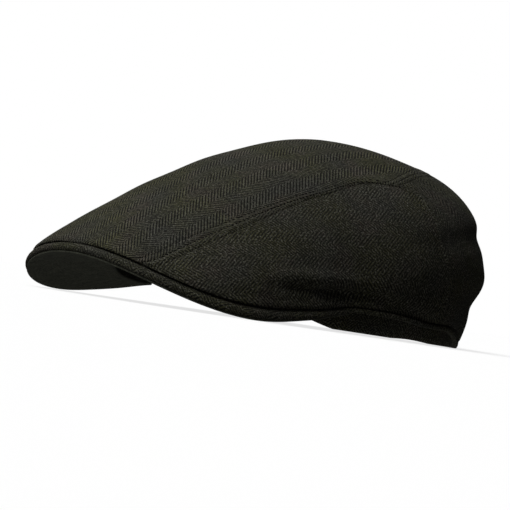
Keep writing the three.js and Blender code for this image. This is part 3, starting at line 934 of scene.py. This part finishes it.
def plain_cloth(name, base):
    """Fine plain weave of one colour."""
    n = Nodes(name)
    turn = 2 * math.pi / (PLAIN_YARN * MM)
    warp = n.math("SINE", n.math("MULTIPLY", n.across, turn))
    weft = n.math("SINE", n.math("MULTIPLY", n.along, turn))
    weave = n.math("MULTIPLY", warp, weft)
    patches = n.spread(n.noise("plain_patches"), *SPREAD["plain"])
    fuzz = n.spread(n.noise("plain_fuzz"), *SPREAD["plain"])
    tone = n.total(
        PLAIN_TONE["least"],
        (weave, PLAIN_TONE["weave"]),
        (patches, PLAIN_TONE["patches"]),
        (fuzz, PLAIN_TONE["fuzz"]),
    )
    return n.finish(n.tinted(base, tone), n.math("ADD", weave, fuzz), PLAIN_BUMP, WOOL_ROUGHNESS)


def sewing_thread(name, base):
    """Twisted thread of one colour."""
    n = Nodes(name)
    turns_along = n.math("MULTIPLY", n.across, 2 * math.pi / (THREAD_TWIST * MM))
    ply = n.math("SINE", n.total(turns_along, (n.along, 1 / (THREAD * MM))))
    tone = n.total(
        THREAD_TONE["least"],
        (n.noise("thread"), THREAD_TONE["noise"]),
        (ply, THREAD_TONE["ply"]),
    )
    return n.finish(n.tinted(base, tone), ply, THREAD_BUMP, THREAD_ROUGHNESS)


# Camera and light
CAMERA_AZIMUTH = 49.7
CAMERA_ELEVATION = -1.6
CAMERA_ROLL = 8.5
CAMERA_DISTANCE = 1400.0
TARGET = Vector((0.0, -10.0, 50.0))
TARGET_PIXEL = (280.5, 228.0)
PIXELS_PER_MM = 1.872
IMAGE = 510
SENSOR = 36.0
CLIP_END = 100.0
LIGHTS = {
    "name": ("far_back", "far_front", "near"),
    "azimuth": (-98, -42, 8),
    "elevation": (58, 50, 54),
    "strength": (0.97, 0.86, 1.24),
    "angle": (40, 40, 40),
}
FILL = 0.028
BOUNCE = 0.3
BOUNCE_AZIMUTH = 0
BOUNCE_ELEVATION = -65
FLOOR_REACH = 40.0
FLOOR_SHADE = colour(0.3, 0.3, 0.3)
FLOOR_GLOW = 0.75
WHITE = colour(1.0, 1.0, 1.0)


def add_camera():
    back = pointing(CAMERA_AZIMUTH, CAMERA_ELEVATION)
    right = Vector((0, 0, 1)).cross(back).normalized()
    up = back.cross(right)
    roll = math.radians(CAMERA_ROLL)
    right, up = right * math.cos(roll) + up * math.sin(roll), up * math.cos(roll) - right * math.sin(roll)
    place = TARGET + back * CAMERA_DISTANCE
    aside, below = ((IMAGE / 2 - pixel) / PIXELS_PER_MM for pixel in TARGET_PIXEL)
    aim = TARGET + right * aside - up * below
    back = (place - aim).normalized()
    right = up.cross(back).normalized()
    up = back.cross(right)
    data = bpy.data.cameras.new("camera")
    data.sensor_width = SENSOR
    data.lens = PIXELS_PER_MM * CAMERA_DISTANCE / IMAGE * SENSOR
    data.clip_end = CLIP_END
    camera = bpy.data.objects.new("camera", data)
    turned = Matrix((right, up, back)).transposed().to_4x4()
    camera.matrix_world = Matrix.Translation((place + SHIFT) * MM) @ turned
    bpy.context.scene.collection.objects.link(camera)
    bpy.context.scene.camera = camera


def add_sun(name, azimuth, elevation, strength, angle):
    data = bpy.data.lights.new(name, "SUN")
    data.energy = strength
    data.angle = math.radians(angle)
    sun = bpy.data.objects.new(name, data)
    sun.rotation_mode = "QUATERNION"
    sun.rotation_quaternion = pointing(azimuth, elevation).to_track_quat("Z", "Y")
    bpy.context.scene.collection.objects.link(sun)


def add_world():
    """A pale surround that lights the cap only a little, and most from in front and below."""
    world = bpy.data.worlds.new("studio")
    world.use_nodes = True
    tree = world.node_tree
    shown = tree.nodes["Background"]
    shown.inputs["Color"].default_value = WHITE
    shown.inputs["Strength"].default_value = 1.0
    fill = tree.nodes.new("ShaderNodeBackground")
    fill.inputs["Color"].default_value = WHITE
    direction = tree.nodes.new("ShaderNodeTexCoord")
    towards = tree.nodes.new("ShaderNodeVectorMath")
    towards.operation = "DOT_PRODUCT"
    towards.inputs[1].default_value = pointing(BOUNCE_AZIMUTH, BOUNCE_ELEVATION)
    strength = tree.nodes.new("ShaderNodeMapRange")
    strength.inputs["To Min"].default_value = FILL
    strength.inputs["To Max"].default_value = FILL + BOUNCE
    tree.links.new(direction.outputs["Generated"], towards.inputs[0])
    tree.links.new(towards.outputs["Value"], strength.inputs["Value"])
    tree.links.new(strength.outputs[0], fill.inputs["Strength"])
    path = tree.nodes.new("ShaderNodeLightPath")
    mix = tree.nodes.new("ShaderNodeMixShader")
    tree.links.new(path.outputs["Is Camera Ray"], mix.inputs[0])
    tree.links.new(fill.outputs[0], mix.inputs[1])
    tree.links.new(shown.outputs[0], mix.inputs[2])
    tree.links.new(mix.outputs[0], tree.nodes["World Output"].inputs["Surface"])
    bpy.context.scene.world = world


def add_floor():
    mesh = bpy.data.meshes.new("floor")
    corners = [(FLOOR_REACH * x, FLOOR_REACH * y, 0) for x, y in ((-1, -1), (1, -1), (1, 1), (-1, 1))]
    mesh.from_pydata(corners, [], [(0, 1, 2, 3)])
    floor = bpy.data.objects.new("floor", mesh)
    material = bpy.data.materials.new("floor")
    material.use_nodes = True
    shader = material.node_tree.nodes["Principled BSDF"]
    shader.inputs["Base Color"].default_value = FLOOR_SHADE
    shader.inputs["Roughness"].default_value = 1.0
    shader.inputs["Specular IOR Level"].default_value = 0.0
    shader.inputs["Emission Color"].default_value = WHITE
    shader.inputs["Emission Strength"].default_value = FLOOR_GLOW
    mesh.materials.append(material)
    bpy.context.scene.collection.objects.link(floor)
    floor.visible_diffuse = False
    floor.visible_glossy = False


# One herringbone twice: crisp at full brightness for the top, and hairier, softer and darkened by shade 0.78
# as painted shade for the sides, back, peak and hem
crisp = herringbone("crisp_herringbone", hairiness=0.5, hair_from=0.61, softness=0, shade=1.0)
shaded_hairy = herringbone("hairy_shaded_herringbone", hairiness=0.6, hair_from=0.58, softness=0.14, shade=0.78)
plain = plain_cloth("plain_cloth", PLAIN)
thread = sewing_thread("sewing_thread", THREAD_COLOUR)
highlight_tack_thread = sewing_thread("pale_highlight_thread", TACK_HIGHLIGHT_COLOUR)

CLOTH_PIECES = (
    (top_panel(), "top_panel", "herringbone_cloth", crisp),
    (side_panel("left"), "side_panel_left", "herringbone_cloth", shaded_hairy),
    (side_panel("right"), "side_panel_right", "herringbone_cloth", shaded_hairy),
    (back_panel(), "back_panel", "herringbone_cloth", shaded_hairy),
    (peak_board(), "peak", "herringbone_cloth", shaded_hairy),
    (peak_lining(), "peak_underside", "plain_cloth", plain),
    (hem_band(), "hem_band", "herringbone_cloth", shaded_hairy),
)
for piece, node, slot, material in CLOTH_PIECES:
    piece.data.materials.append(material)
    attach(piece, "root")
    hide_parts(node)

THREADS = (
    ("left", (side_seam, rear_seam)),
    ("right", (mirrored(side_seam), mirrored(rear_seam))),
    ("cross", (cross_seam,)),
)
for name, seams in THREADS:
    rows = [(seam, away, STITCH_FROM, STITCH_TO) for seam in seams for away in (STITCH_ROW, -STITCH_ROW)]
    # Pale tacks along each seam: painted highlights, pale thread where the seam's stitches catch the light
    joins = [(seam, 0.0, STITCH_FROM, STITCH_TO, TACK_LENGTH, TACK) for seam in seams]
    for piece, material in (
        (stitches("stitches_" + name, rows), thread),
        (stitches("highlight_tacks_" + name, joins), highlight_tack_thread),
    ):
        piece.data.materials.append(material)
        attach(piece, "root")

bpy.context.scene.view_settings.view_transform = "Standard"
add_camera()
for light in zip(*LIGHTS.values()):
    add_sun(*light)
add_world()
add_floor()
